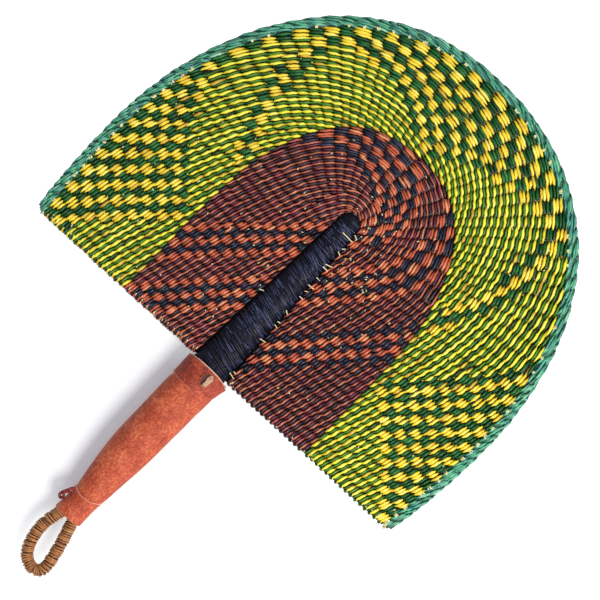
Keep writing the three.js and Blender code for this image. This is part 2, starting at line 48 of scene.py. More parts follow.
# Layout of the fan in millimetres: x across, y up from the blade's bottom edge,
# z from the blade's middle plane. toRow turns it into metres in the frame.
millimetre = 0.001
handle = {
    "length": 131.9, "wall": 1.2,
    "restLevel": -12.8,  # pressed flat on the floor
    "smoothing": 2.2,  # span of the profile's mean, up and down
    # down the handle: height, half width, half thickness and bend to the right
    "profile": [
        (-2.9, 15.2, 11.8, 0.6), (-9.0, 14.6, 11.8, 0.1), (-14.0, 14.2, 11.8, 0.0),
        (-19.6, 14.0, 11.8, -0.4), (-23.0, 14.6, 11.8, -0.5), (-41.0, 14.6, 11.8, -0.4),
        (-59.0, 14.4, 11.8, -0.6), (-70.0, 14.0, 11.6, -0.6), (-80.0, 13.4, 11.2, -0.55),
        (-90.0, 12.4, 10.4, -0.4), (-98.0, 11.5, 9.6, -0.1), (-106.0, 10.5, 8.9, 0.3),
        (-110.0, 9.8, 8.2, 0.4), (-114.0, 8.9, 7.4, 0.4), (-118.0, 8.5, 7.0, 0.35),
        (-131.9, 8.7, 7.0, -0.1),
    ],
}
blade = {
    "halfWidth": 155.8, "footHalfWidth": 150.6, "height": 255.4, "archHeight": 181.4,
    "archFullness": 2.14,  # 2 would be an ellipse
    "sideOffset": 1.7, "lean": 0.033, "pitch": 6.87, "hemSlope": 0.024, "borderWidth": 6.4, "gap": 0.4,
}
innerField = {
    "halfWidth": 76.7, "footHalfWidth": 76.7, "height": 185.5, "archHeight": 119.8, "archFullness": 2.34,
    "sideOffset": 3.1, "lean": 0.0, "pitch": 6.403, "rows": 33, "spacing": 1.93, "stripedRows": 0,
    "dividedFrom": 9,  # the row from which on each tip rib is two
}
outerField = {
    "rows": 32, "spacing": 2.05, "perTipRib": 4,
    "stripedRows": 2,  # before the first checks
}
spine = {
    "length": 131.9, "pitch": 6.0, "halfWidth": (13.0, 7.5), "halfThickness": (9.0, 6.0),
    "taperFrom": -0.1,  # share of the way to the middle of the tip
    "seatGap": 0.7,  # dark gap beside the wrapping
}
crossRibs = 19
tipRibs = 10
lastStation = 2 * crossRibs + tipRibs
rowsPerCheck = 3

sleeveLow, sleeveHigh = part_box("leather_sleeve")
weftLow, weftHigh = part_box("inner_field_weft")
fanOrigin = np.array([
    (sleeveLow.x + sleeveHigh.x) / 2,
    sleeveLow.y + handle["length"] * millimetre,
    (weftLow.z + weftHigh.z) / 2,
])


def toRow(points):
    return np.asarray(points) * millimetre + fanOrigin


def signedPower(value, exponent):
    return np.sign(value) * np.abs(value) ** exponent


def mix(low, high, share):
    return low + (high - low) * share


def smoothStep(value, low, high):
    share = np.clip((value - low) / (high - low), 0, 1)
    return share * share * (3 - 2 * share)


def circle(points):
    return np.arange(points) * 2 * math.pi / points


def unit(vectors):
    return vectors / np.linalg.norm(vectors, axis=-1, keepdims=True)


# flat vectors turned left by a right angle
def leftward(flat):
    return np.stack([-flat[..., 1], flat[..., 0]], -1)


def raised(flat, level=0.0):
    return np.column_stack([flat, np.broadcast_to(level, len(flat))])


# sum of the steps along a path, each to a power
def runLength(path, power=1.0):
    return np.append(0, np.cumsum(np.linalg.norm(np.diff(path, axis=0), axis=1) ** power))


def draw(span):
    return random.uniform(*span)


# A few waves with random phases over a length, about plus and minus the amount
def wander(length, amount, shortest, longest, waves=5):
    wave = random.uniform(shortest, longest, waves)
    phase = random.uniform(0, 2 * math.pi, waves)
    return amount * np.sin(length[:, None] * 2 * math.pi / wave + phase).sum(1) / math.sqrt(waves)


# A station counts the ribs along a U-shaped line: up the left side, over the arch and down the
# right side. Sides follow a parabola below the arch. The arch is a superellipse: x and y are the
# cosine and sine of its angle, each to the power of 2 over the fullness.
def archedLine(station, outline, inset):
    halfWidth, footHalfWidth, height, archHeight = (
        outline[key] - inset for key in ("halfWidth", "footHalfWidth", "height", "archHeight"))
    fullness, pitch = outline["archFullness"], outline["pitch"]
    base = height - archHeight
    side = np.minimum(station, lastStation - station)
    firstAngle = np.arcsin(signedPower((crossRibs * pitch - base) / archHeight, fullness / 2))
    angle = mix(firstAngle, math.pi / 2, (side - crossRibs) / (tipRibs / 2))
    straightY = side * pitch
    straightAngle = np.arcsin(np.clip(signedPower((straightY - base) / archHeight, fullness / 2), 0, 1))
    angle = np.where(side > crossRibs, angle, straightAngle)
    archX = halfWidth * np.cos(angle) ** (2 / fullness)
    archY = base + archHeight * signedPower(np.sin(angle), 2 / fullness)
    legX = halfWidth - (halfWidth - footHalfWidth) * ((base - straightY) / base) ** 2
    onLeg = (side <= crossRibs) & (straightY < base)
    y = np.where(side > crossRibs, archY, straightY)
    x = np.where(onLeg, legX, archX) * np.where(station < lastStation / 2, -1, 1)
    rise = blade["hemSlope"] * x * (1 - y / blade["height"])
    return np.stack([x + outline["sideOffset"] + outline["lean"] * y, y + rise], -1)


def bladeLine(station, inset):
    return archedLine(station, blade, inset)


def innerLine(station, inset=0.0):
    return archedLine(station, innerField, inset)


tipRadius = spine["halfWidth"][1] + spine["seatGap"]
tipCentre = spine["length"] - tipRadius


def spineHalf(y, sizes):
    return mix(sizes[0], sizes[1], np.clip(y / tipCentre, spine["taperFrom"], 1))


# Straight sides with the spine's taper, then the half circle round its tip by arc length
def spineLine(station):
    side = np.minimum(station, lastStation - station)
    sign = np.where(station < lastStation / 2, -1, 1)
    archStart = crossRibs * spine["pitch"]
    leg = tipCentre - archStart
    run = (side - crossRibs) / (tipRibs / 2) * (leg + math.pi * tipRadius / 2)
    turn = np.clip((run - leg) / tipRadius, 0, math.pi / 2)
    y = np.where(side > crossRibs, archStart + np.minimum(run, leg), side * spine["pitch"])
    straightX = spineHalf(y, spine["halfWidth"]) + spine["seatGap"]
    x = np.where(turn > 0, tipRadius * np.cos(turn), straightX)
    return np.stack([sign * x, y + tipRadius * np.sin(turn)], -1)


def innerRow(station, share):
    return mix(spineLine(station), innerLine(station, blade["gap"] / 2), share)


def outerRow(station, share):
    return mix(innerLine(station, -blade["gap"] / 2),
               bladeLine(station, blade["borderWidth"] + blade["gap"]), share)


# Shader nodes. A Wire is an output socket that takes part in plain expressions.
class Wire:
    def __init__(self, graph, socket):
        self.graph = graph
        self.socket = socket

    def maths(self, operation, left, right):
        return self.graph.node("Math", {0: left, 1: right}, operation=operation)

    def __add__(self, other):
        return self.maths("ADD", self, other)

    def __mul__(self, other):
        return self.maths("MULTIPLY", self, other)

    def __rsub__(self, other):
        return self.maths("SUBTRACT", other, self)

    __radd__ = __add__
    __rmul__ = __mul__


def dye(red, green, blue):
    share = np.array([red, green, blue]) / 255
    linear = np.where(share <= 0.04045, share / 12.92, ((share + 0.055) / 1.055) ** 2.4)
    return (*[float(value) for value in linear], 1.0)


class Graph:
    def __init__(self, name):
        self.material = bpy.data.materials.new(name)
        self.material.use_nodes = True
        self.tree = self.material.node_tree
        self.tree.nodes.clear()

    # settings first, then values or links of the sockets
    def node(self, kind, inputs=None, output=0, **settings):
        node = self.tree.nodes.new(f"ShaderNode{kind}")
        for key, value in settings.items():
            setattr(node, key, value)
        for key, value in (inputs or {}).items():
            if isinstance(value, Wire):
                self.tree.links.new(value.socket, node.inputs[key])
            else:
                node.inputs[key].default_value = value
        return Wire(self, node.outputs[output]) if node.outputs else None

    def attribute(self, name):
        return self.node("Attribute", output="Fac", attribute_name=name)

    def noise(self, scale, detail=3.0, roughness=0.55, stretch=(1, 1, 1), kind="Object"):
        coordinate = self.node("TexCoord", output=kind)
        place = self.node("Mapping", {"Vector": coordinate, "Scale": stretch})
        return self.node("TexNoise", {
            "Vector": place, "Scale": scale, "Detail": detail, "Roughness": roughness})

    def tones(self, factor, stops):
        ramp = self.node("ValToRGB", {"Fac": factor})
        elements = ramp.socket.node.color_ramp.elements
        for index, (place, tone) in enumerate(stops):
            stop = elements[index] if index < 2 else elements.new(place)
            stop.position = place
            stop.color = dye(*tone)
        return ramp

    def mapped(self, value, span, results):
        return self.node("MapRange", {
            "Value": value, "From Min": span[0], "From Max": span[1],
            "To Min": results[0], "To Max": results[1]})

    def blend(self, factor, low, high):
        low, high = (tone if isinstance(tone, Wire) else dye(*tone) for tone in (low, high))
        return self.node("Mix", {0: factor, 6: low, 7: high}, 2, data_type="RGBA")

    # 0 along the front and back of a strand, 1 at its sides: the cosine of the way round, squared
    def sides(self):
        coordinate = self.node("TexCoord", output="UV")
        around = self.node("SeparateXYZ", {0: coordinate}, "Y")
        wave = self.node("Math", {0: around * (2 * math.pi)}, operation="COSINE")
        return wave * wave

    # bump: height, strength and distance
    def finish(self, colour, roughness, bump, shine=0.5, coat=0.0):
        normal = self.node("Bump", dict(zip(("Height", "Strength", "Distance"), bump)))
        shader = self.node("BsdfPrincipled", {
            "Base Color": colour, "Roughness": roughness, "Normal": normal,
            "Specular IOR Level": shine, "Coat Weight": coat, "Coat Roughness": 0.3})
        self.node("OutputMaterial", {"Surface": shader})
        return self.material


# Dyed straw: fibres run along a strand. Its colour is darkened towards the sides, painted shade for the
# creases between strands, and paler along its crest, a painted highlight. In the striped stretches the
# colours are duller.
straw = {
    "fibreStretch": (0.9, 22.0, 1.0), "patchScale": 260.0, "streakScale": 150.0,
    "shade": (0.4, 0.5, 0.45, -0.18),  # shares of tint, fibre and patch, and what is added
    "streaks": ((0.46, 0.66), (0.0, 0.85)),  # noise, and share that it shows
    "dulling": 0.85, "leastStreaked": 0.2, "leastSideShade": 0.5, "coat": 0.2,
    "roughness": (0.2, 0.56), "bump": (0.6, 0.0004),
    # dark, middle and pale, then what differs from the usual
    "dyes": {
        "yellow": ((176, 124, 8), (255, 224, 28), (255, 247, 120),
                   {"dulled": (242, 250, 44), "sideShade": 0.72}),
        "green": ((3, 28, 8), (10, 82, 29), (62, 142, 72),
                  {"dulled": (92, 146, 4), "sideShade": 0.75, "shine": 0.3}),
        "orange": ((54, 12, 12), (200, 74, 40), (244, 168, 116),
                   {"dulled": (170, 78, 58), "streaked": (158, 50, 62)}),
        "navy": ((3, 3, 9), (14, 21, 42), (54, 60, 82),
                 {"dulled": (80, 34, 42), "streaked": (112, 26, 56), "shine": 0.3}),
        "teal": ((6, 62, 50), (50, 170, 126), (168, 230, 190),
                 {"streaked": (28, 122, 122), "sideShade": 0.7}),
        "navy wrapping": ((1, 1, 6), (5, 7, 24), (98, 106, 150),
                          {"sideShade": 0.75, "crestHighlight": 0.14, "shine": 0.2}),
        # the ribs are dyed near black: painted shade for the gaps between strands, where they show
        "rib": ((10, 9, 6), (24, 20, 12), (58, 48, 30), {"sideShade": 0.0}),
        "cream": ((172, 146, 80), (240, 226, 160), (255, 250, 214), {"sideShade": 0.2}),
        "golden": ((50, 24, 10), (160, 94, 42), (220, 164, 98), {"sideShade": 0.9}),
    },
}


def strawFinish(name, dark, middle, pale, dulled=None, streaked=None, sideShade=0.8, crestHighlight=0.3, shine=0.5):
    graph = Graph(name)
    fibre = graph.noise(1.0, 4.0, 0.62, straw["fibreStretch"], "UV")
    patch = graph.noise(straw["patchScale"])
    tintShare, fibreShare, patchShare, added = straw["shade"]
    shade = graph.attribute("tint") * tintShare + fibre * fibreShare + patch * patchShare + added
    colour = graph.tones(shade, [(0.2, dark), (0.82, pale), (0.5, middle)])
    dulling = graph.attribute("dulled")
    if dulled:
        dullColour = graph.tones(shade, [(0.2, dark), (0.5, dulled), (1.0, pale)])
        colour = graph.blend(dulling * straw["dulling"], colour, dullColour)
    if streaked:
        streak = graph.mapped(graph.noise(straw["streakScale"], 2.0), *straw["streaks"])
        if dulled:
            streak = streak * mix(straw["leastStreaked"], 1, dulling)
        colour = graph.blend(streak, colour, streaked)
    sides = graph.sides()
    # painted highlight: paler along the crest of a strand
    crest = (1 - sides) * (1 - sides)
    colour = graph.blend(crest * fibre * crestHighlight, colour, pale)
    # painted shade: darker towards the sides of a strand, where the creases between strands lie, stronger
    # in the striped stretches
    if dulled:
        sideShade = mix(straw["leastSideShade"] * sideShade, sideShade, dulling)
    colour = graph.blend(sides * sideShade, colour, dark)
    return graph.finish(colour, mix(*straw["roughness"], fibre), (fibre, *straw["bump"]),
                        shine, straw["coat"] * shine)


finishes = {key: strawFinish(f"{key} straw", *dyes, **options)
            for key, (*dyes, options) in straw["dyes"].items()}
print("straw finishes made")


# Quads between rings, which are rows x points x 3, with u along and v round them
def shell(rings, u, tint=0.5, dulled=0.0, closed=False):
    rows, points = rings.shape[:2]
    row, point = np.meshgrid(np.arange(len(u) - 1), np.arange(points), indexing="ij")
    corners = ((0, 0), (0, 1), (1, 1), (1, 0))
    quads = [(row + down) % rows * points + (point + on) % points for down, on in corners]
    uv = [np.stack([u[row + down], (point + on) / points], -1) for down, on in corners]
    cap = np.arange(points)
    return {
        "vertices": rings.reshape(-1, 3),
        "quads": np.stack(quads, -1).reshape(-1, 4),
        "uv": np.stack(uv, 2).reshape(-1, 2),
        "ends": [] if closed else [cap[::-1], (rows - 1) * points + cap],
        "tint": np.repeat(np.broadcast_to(tint, rows), points),
        "dulled": np.repeat(np.broadcast_to(dulled, rows), points),
    }


strandPerU = 10  # millimetres along a strand for 1 in the UV map


# A tube along a path: each ring is an ellipse with a half width across the path and a half thickness
# along the normal, which is the part of up that stands square to the path.
def tube(path, half, sides=6, up=(0.0, 0.0, 1.0), tint=0.5, dulled=0.0):
    tangent = unit(np.gradient(path, axis=0))
    across = unit(np.cross(np.broadcast_to(up, path.shape), tangent))
    normal = np.cross(tangent, across)
    angle = circle(sides)[:, None]
    width, thickness = (np.broadcast_to(size, len(path))[:, None, None] for size in half)
    ring = across[:, None] * np.cos(angle) * width + normal[:, None] * np.sin(angle) * thickness
    return shell(path[:, None] + ring, runLength(path) / strandPerU, tint, dulled)


# closes back to the first ring, or has a cap at each end
def skin(rings, closed):
    return shell(rings, np.linspace(0, 1, len(rings) + int(closed)), closed=closed)


def joined(parts):
    starts = np.cumsum([0] + [len(part["vertices"]) for part in parts])
    shape = {key: np.concatenate([part[key] for part in parts])
             for key in ("vertices", "uv", "tint", "dulled")}
    shape["quads"] = np.concatenate([part["quads"] + start for part, start in zip(parts, starts)])
    shape["ends"] = [end + start for part, start in zip(parts, starts) for end in part["ends"]]
    return shape


def addObject(name, data):
    added = bpy.data.objects.new(name, data)
    bpy.context.scene.collection.objects.link(added)
    return added


# Edge is 1 where leather or wood is cut, and in the middle of the peg's hole, where shade is painted
def makePiece(name, shape, material, replaced=(), edge=None):
    mesh = bpy.data.meshes.new(name)
    faces = shape["quads"].tolist() + [end.tolist() for end in shape["ends"]]
    mesh.from_pydata(toRow(shape["vertices"]).tolist(), [], faces)
    capCorners = sum(len(end) for end in shape["ends"])
    uv = np.concatenate([shape["uv"], np.zeros((capCorners, 2))])
    layer = mesh.uv_layers.new(name="along")
    layer.data.foreach_set("uv", uv.astype(np.float32).ravel())
    fields = {"tint": shape["tint"], "dulled": shape["dulled"]}
    if edge is not None:
        fields["edge"] = np.zeros(len(shape["vertices"])) + np.ravel(edge)
    for key, values in fields.items():
        field = mesh.attributes.new(key, "FLOAT", "POINT")
        field.data.foreach_set("value", np.asarray(values, np.float32))
    mesh.polygons.foreach_set("use_smooth", np.ones(len(faces), bool))
    mesh.materials.append(material)
    mesh.update()
    piece = addObject(name, mesh)
    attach(piece, "root")
    if replaced:
        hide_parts(*replaced)
    print("made", name, len(faces), "faces")


# Twined weave. Every row is a pair of strands that trade places between the ribs: one passes in
# front of a rib while the other passes behind it.
weave = {
    "steps": 6,  # points per rib
    "rise": 2.35,  # of a strand's middle over a rib
    "roundness": 0.38,  # smaller is flatter over a rib
    "sway": 0.47,  # sideways, as a share of the spacing
    "hook": 2.6,  # larger is straighter over a rib
    # half widths in checks and in stripes
    "innerHalfWidths": ((1.02, 0.9), (0.98, 0.96)),  # orange and navy
    "outerHalfWidths": ((1.14, 1.2), (1.06, 0.9)),  # yellow and green
    "halfThickness": 0.78,
    "neck": 0.42,  # width between ribs, as a share
    "belly": 0.8,  # smaller keeps the full width longer
    "lift": 0.3,  # of crossings, as a share of the rise
    "dip": 0.3,  # where a strand stays on one side
    "uneven": (0.13, 0.06),  # sideways and in height
    "slip": 0.1,  # of a crossing, as a share of a cell
    "endSlip": ((-0.1, 0.06), (-0.06, 0.1)),  # at the left and at the right end
    # how far these wander, and their shortest and longest wave
    "drift": (0.14, 40, 160),  # a row, in points
    "stray": (0.1, 14, 60), "swell": (0.08, 8, 50), "tintWander": (0.18, 20, 90),  # in millimetres
    "tint": (0.2, 0.9), "tintSpread": 0.13,
    "paintedCrossingShade": 0.9,  # painted shade where a strand dives at a crossing, darker by a random amount
}


# stations between which the ribs lie if every tip rib is divided into so many
def ribBounds(perTipRib):
    return np.concatenate([
        np.arange(crossRibs),
        crossRibs + np.arange(tipRibs * perTipRib) / perTipRib,
        crossRibs + tipRibs + np.arange(crossRibs + 1),
    ])


def ribCentres(perTipRib):
    bounds = ribBounds(perTipRib)
    return (bounds[:-1] + bounds[1:]) / 2


# count of such ribs up to a station
def ribCount(station, perTipRib):
    return station + np.clip(station - crossRibs, 0, tipRibs) * (perTipRib - 1)


# a value per cell between ribs, repeated for its points
def perCell(values):
    return np.append(np.repeat(values, weave["steps"]), values[-1])


# One strand of a row. Over a rib its height is the sine of the way through the cell, to a power
# below 1, and its sideways shift the cosine. Where it stays on one side of two ribs, the pair makes
# a full turn between them and the strand dips behind the other.
def strand(line, share, spacing, front, striped, bounds, drift, width):
    way = np.arange(weave["steps"]) / weave["steps"]
    station = (bounds[:-1, None] + np.diff(bounds)[:, None] * way).ravel()
    station = np.append(station, bounds[-1])
    face = np.where(front, 1.0, -1.0)
    stays = np.append(False, face[1:] == face[:-1])
    arch = np.sin(math.pi * way)
    crest = arch ** weave["roundness"]
    shift = face[:, None] * signedPower(np.cos(math.pi * way), weave["hook"])
    height = face[:, None] * crest + weave["lift"] * (1 - crest)
    shift[stays, 0] = 0
    height[stays, 0] = -weave["dip"] * face[stays]
    uneven = random.normal(0, 1, (2, len(face), 1)) * crest
    shift = shift * weave["sway"] * spacing + weave["uneven"][0] * uneven[0]
    height = height + weave["uneven"][1] * uneven[1]
    flat = line(station, share)
    along = np.gradient(flat, axis=0)
    length = np.cumsum(np.linalg.norm(along, axis=1))
    shift = np.append(shift.ravel(), 0) + drift + wander(length, *weave["stray"])
    flat = flat + unit(leftward(along)) * shift[:, None]
    belly = np.append(np.tile(arch ** weave["belly"], len(face)), 0)
    swell = mix(weave["neck"], 1, belly) * (1 + wander(length, *weave["swell"]))
    tint = draw(weave["tint"]) + wander(length, *weave["tintWander"])
    tint = tint + perCell(random.normal(0, weave["tintSpread"], len(face)))
    # painted shade: the tint drops, by a random amount, where a strand dives between the ribs at a
    # crossing
    crossingShadeShare = random.uniform(size=(len(face), 1)) ** 2 * (1 - crest)
    tint = tint - weave["paintedCrossingShade"] * np.append(crossingShadeShare.ravel(), 0)
    return tube(raised(flat, weave["rise"] * np.append(height.ravel(), 0)),
                (width * swell, weave["halfThickness"]), tint=tint, dulled=perCell(striped))


# Left edge: a loop over the edge at every row. Right edge: bumps where the darker strand turns back.
edging = {
    "level": 2.6, "halfThickness": 0.62, "up": (0.0, 1.0, 0.35), "points": 9,
    "loopShares": (1.0, 0.3), "loopRise": (1.6, 3.0), "loopReach": (0.9, 1.8), "loopHalfWidth": 0.78,
    "bumpShares": (0.5, 1.5), "bumpReach": (0.8, 1.3), "bumpHalfWidth": 0.95,
}


# A strand round the bottom edge from one share of the rows to another, from the front to the back.
# Its height is the cosine of the turn and its reach below the edge the sine.
def turnBack(line, shares, station, rise, reach, halfWidth):
    way = np.linspace(0, 1, edging["points"])
    flat = line(np.full(len(way), station), mix(*shares, way)[:, None])
    flat[:, 1] += rise * (1 - way) ** 3 - reach * np.sin(math.pi * way)
    return tube(raised(flat, edging["level"] * np.cos(math.pi * way)),
                (halfWidth, edging["halfThickness"]), up=edging["up"], tint=random.uniform())


def rowShares(row, rows, shares):
    return [(row + share) / rows for share in shares]


def edgeLoops(line, rows, first):
    return [turnBack(line, rowShares(row, rows, edging["loopShares"]), 0.0, draw(edging["loopRise"]),
                     draw(edging["loopReach"]), edging["loopHalfWidth"]) for row in range(first, rows, 2)]


def edgeBumps(line, rows):
    return [turnBack(line, rowShares(row, rows, edging["bumpShares"]), float(lastStation), 0.0,
                     draw(edging["bumpReach"]), edging["bumpHalfWidth"]) for row in range(0, rows - 1, 2)]


# Inner field: checks in slanting bands, where column plus rib count lies in one of these ranges, and
# plain orange where the first rows turn round the spine's tip
innerPattern = {
    "bands": [(6, 11), (14, 19), (31.5, 38.6), (42, 47), (51, 56)],
    "perTipRib": 2, "tipRows": 2, "tipReach": 3,
}


# which cells of a row are checked, and which are plain
def innerChecks(row, column, centre):
    slant = column + ribCount(centre, innerPattern["perTipRib"])
    checked = np.any([(slant >= low) & (slant < high) for low, high in innerPattern["bands"]], axis=0)
    overTip = np.abs(centre - lastStation / 2) < innerPattern["tipReach"]
    return checked, overTip & (row < innerPattern["tipRows"])


# Outer field: check triangles that widen outwards, two chains of checks that run outwards towards
# the top one, and a checked edge on the left and over half of the arch
outerPattern = {
    "triangles": [(9.0, 1.08), (38.7, 1.22), (68.0, 1.05)],  # middle, and half width gained per column
    "leastHalf": 1.0,
    "chains": (17.5, 18.5),  # start from the left and from the right end
    "chainSlope": 1.2, "chainHalf": 1.25,
    "edge": (30, 45.0),  # first row and last place
}


def outerChecks(row, column, centre):
    place, end = (ribCount(station, outerField["perTipRib"]) for station in (centre, lastStation))
    firstRow, lastPlace = outerPattern["edge"]
    checked = (row >= firstRow) & (place < lastPlace)
    if column >= 0:
        for middle, slope in outerPattern["triangles"]:
            checked |= np.abs(place - middle) <= slope * column + outerPattern["leastHalf"]
        for way, start in zip((place, end - place), outerPattern["chains"]):
            fromChain = way - start - outerPattern["chainSlope"] * column
            checked |= np.abs(fromChain) <= outerPattern["chainHalf"]
    return checked, False


# The ribs aren't quite even, so the crossings of a row slip to and fro a little, and the row drifts
def unevenRow(perTipRib, endSlip=(), loose=1):
    bounds = ribBounds(perTipRib)
    slip = random.normal(0, loose * weave["slip"], len(bounds)) * np.gradient(bounds)
    slip[[0, -1]] = [draw(span) for span in endSlip] or 0
    points = np.arange((len(bounds) - 1) * weave["steps"] + 1.0)
    return bounds + slip, loose * wander(points, *weave["drift"])


# In checks a strand is in front for whole columns of rows, in stripes for single rows
def makeField(side, line, field, checksOf, perTipRib, colours):
    rows = field["rows"]
    strands = [[], []]
    for row in range(rows):
        centre = ribCentres(perTipRib(row))
        count = np.arange(len(centre))
        column = (row - field["stripedRows"]) // rowsPerCheck
        checked, plain = checksOf(row, column, centre)
        front = plain | (np.where(checked, column + count, row + count) % 2 == 0)
        uneven = unevenRow(perTipRib(row), weave["endSlip"])
        for parts, face, widths in zip(strands, (front, ~front), weave[f"{side}HalfWidths"]):
            parts.append(strand(line, (row + 0.5) / rows, field["spacing"], face, ~checked, *uneven,
                                perCell(np.where(checked, *widths))))
    strands[0] += edgeLoops(line, rows, 0)
    strands[1] += edgeLoops(line, rows, 1) + edgeBumps(line, rows)
    for colour, parts in zip(colours, strands):
        makePiece(f"{side}_weft_{colour}", joined(parts), finishes[colour],
                  [f"{side}_field_weft"])


makeField("inner", innerRow, innerField, innerChecks,
          lambda row: 1 if row < innerField["dividedFrom"] else 2, ("orange", "navy"))
makeField("outer", outerRow, outerField, outerChecks,
          lambda row: outerField["perTipRib"], ("yellow", "green"))

# Border: rows of teal pairs twined like the fields over a flat padding, lower towards the rim
border = {
    "insets": (5.4, 1.2), "heights": (1.0, 1.05, 1.0, 0.76), "halfWidth": 1.05,
    "twist": 1.7,  # shift between ribs, against the fields
    "loose": 2,  # how uneven, against the fields
    "shorter": 0.014, "roundEnd": 1.6, "roundFade": 3,
    "padInset": 4.0, "padHalf": (3.75, 1.2), "padSteps": 300, "padShorter": 0.25, "padTint": -0.4,
}
borderRows = len(border["heights"])


# outer rows end earlier and bend inwards, which rounds the border's ends
def borderRow(station, share):
    share = np.ravel(share)
    half = lastStation / 2
    station = half + (station - half) * (1 - border["shorter"] * share ** 2)
    side = np.minimum(station, lastStation - station)
    bend = border["roundEnd"] * share * np.exp(-border["roundFade"] * side)
    return bladeLine(station, mix(*border["insets"], share) + bend)


def borderStrands():
    parts = []
    spacing = border["twist"] * (border["insets"][0] - border["insets"][1]) / (borderRows - 1)
    count = np.arange(len(ribCentres(outerField["perTipRib"])))
    for row, height in enumerate(border["heights"]):
        uneven = unevenRow(outerField["perTipRib"], loose=border["loose"])
        for side in range(2):
            part = strand(borderRow, row / (borderRows - 1), spacing, (count + side) % 2 == 0,
                          0 * count, *uneven, border["halfWidth"])
            part["vertices"][:, 2] *= height
            parts.append(part)
    return parts


padStations = np.linspace(border["padShorter"], lastStation - border["padShorter"], border["padSteps"])
padPath = raised(bladeLine(padStations, border["padInset"]))
# the padding is darker than the border's strands: painted shade in the gaps between its rows
borderParts = [tube(padPath, border["padHalf"], 8, tint=border["padTint"])] + borderStrands()
borderParts += edgeLoops(borderRow, borderRows, 0) + edgeBumps(borderRow, borderRows)
makePiece("border_rows", joined(borderParts), finishes["teal"], ["border_weft"])

# Loose pale straws round the left and the right end of the border
corners = {
    "counts": (2, 10), "first": (-0.2, 0.5), "last": (0.4, 1.0), "rise": (0, 3), "reach": (0.6, 2.4),
    "halfWidth": 0.42,
}
cornerParts = []
for station, count in zip((0.0, float(lastStation)), corners["counts"]):
    for _ in range(count):
        first, last, rise, reach = (draw(corners[key]) for key in ("first", "last", "rise", "reach"))
        cornerParts.append(turnBack(
            borderRow, (first, last), station, rise, reach, corners["halfWidth"]))
makePiece("corner_straws", joined(cornerParts), finishes["cream"])

# Ribs: flat bundles of straw from the spine to the rim, divided on the way over the arch. A rib
# fills a little more than the way to its neighbours.
ribs = {
    "fill": 1.14, "halfThickness": 1.0, "endInset": 7.0, "points": 9,
    # parts, and reach from and to: 0 at the first row, 1 at the edge of the inner field, 2 at the rim
    "cross": (1, -0.04, 2), "tip": [(1, -0.04, 0.3), (2, 0.27, 1), (4, 0.97, 2)],
}


def ribPoints(station, reach):
    here = np.full(len(reach), station)
    inside = innerRow(here, np.minimum(reach, 1)[:, None])
    outside = mix(innerLine(here), bladeLine(here, ribs["endInset"]), reach[:, None] - 1)
    return np.where(reach[:, None] <= 1, inside, outside)


def ribTube(station, parts, low, high):
    reach = np.linspace(low, high, ribs["points"])
    right, left = (ribPoints(station + half / parts, reach) for half in (0.5, -0.5))
    halfWidth = ribs["fill"] * np.linalg.norm(right - left, axis=1) / 2
    return tube(raised(ribPoints(station, reach)), (halfWidth, ribs["halfThickness"]), 8,
                tint=random.uniform())


ribTubes = [ribTube(station, *ribs["cross"]) for index in range(crossRibs)
            for station in (index + 0.5, lastStation - index - 0.5)]
ribTubes += [ribTube(crossRibs + (index + 0.5) / parts, parts, low, high)
             for parts, low, high in ribs["tip"] for index in range(tipRibs * parts)]
ribNames = [f"{kind}_rib_{index + 1:02d}" for kind, count in (("cross", crossRibs), ("tip", tipRibs))
            for index in range(count)]
# near-black rib finish: painted shade in the gaps between strands
makePiece("rib_straws", joined(ribTubes), finishes["rib"], ribNames)


# A short straw that rises out of the weave and tapers: its level grows with a power of the way
def shortStraw(start, reach, values):
    way = np.linspace(0, 1, 4)
    level = values["level"] + draw(values["rise"]) * way ** 0.6
    halfWidth, halfThickness = values["half"]
    return tube(raised(start + reach * way[:, None], level),
                (halfWidth * mix(*values["taper"], way), halfThickness), 5, tint=draw(values["tint"]))


# Cut rib ends: a few short straws at each rib that stand out between the last row and the border
tufts = {
    "shown": 0.65, "straws": 4, "length": (1.2, 2.6), "inset": 6.8, "lean": (-0.6, 0.6),
    "aside": (-0.9, 0.9), "rooted": 0.6, "level": 1.6, "rise": (1.3, 1.9), "half": (0.58, 0.3),
    "taper": (1.15, 0.65), "tint": (0.2, 1),
}


def tuft(station):
    parts = []
    base, ahead = (bladeLine(np.array([station]), tufts["inset"] - step)[0] for step in (0, 1))
    outward = unit(ahead - base)
    sideways = leftward(outward)
    for _ in range(tufts["straws"]):
        lean, length, aside = (draw(tufts[key]) for key in ("lean", "length", "aside"))
        start = base + sideways * aside - outward * tufts["rooted"]
        parts.append(shortStraw(start, (outward + sideways * lean) * length, tufts))
    return parts


tuftStations = ribCentres(outerField["perTipRib"])
tuftStations = tuftStations[random.uniform(size=len(tuftStations)) < tufts["shown"]]
makePiece("rib_end_tufts", joined([part for station in tuftStations for part in tuft(station)]),
          finishes["cream"])

# Spine wrap: one strand wound round the oval spine and over its blunt tip. Angle and run grow
# together: x is the sine and z the cosine of the angle, times the spine's half sizes at that height.
wrap = {
    "turns": 94, "steps": 26, "half": (0.86, 0.55), "foot": -6.0, "tipShare": 0.9,
    "bluntness": 0.9,  # 1 would be a round tip
    "slant": (0.28, 30.0),  # fall per millimetre to the right, and where it fades below the tip
    "facing": (0.03, 0.12),  # towards the tip, along the spine and over its end
    # how far run and tint wander, and their shortest and longest wave in turns
    "stray": (0.3, 0.7, 4.0), "tintWander": (0.3, 0.6, 6.0), "tint": 0.18,
    "paintedSideLight": 0.22,  # painted light and shade: paler on the right, which faces the lamp, darker on the left
}


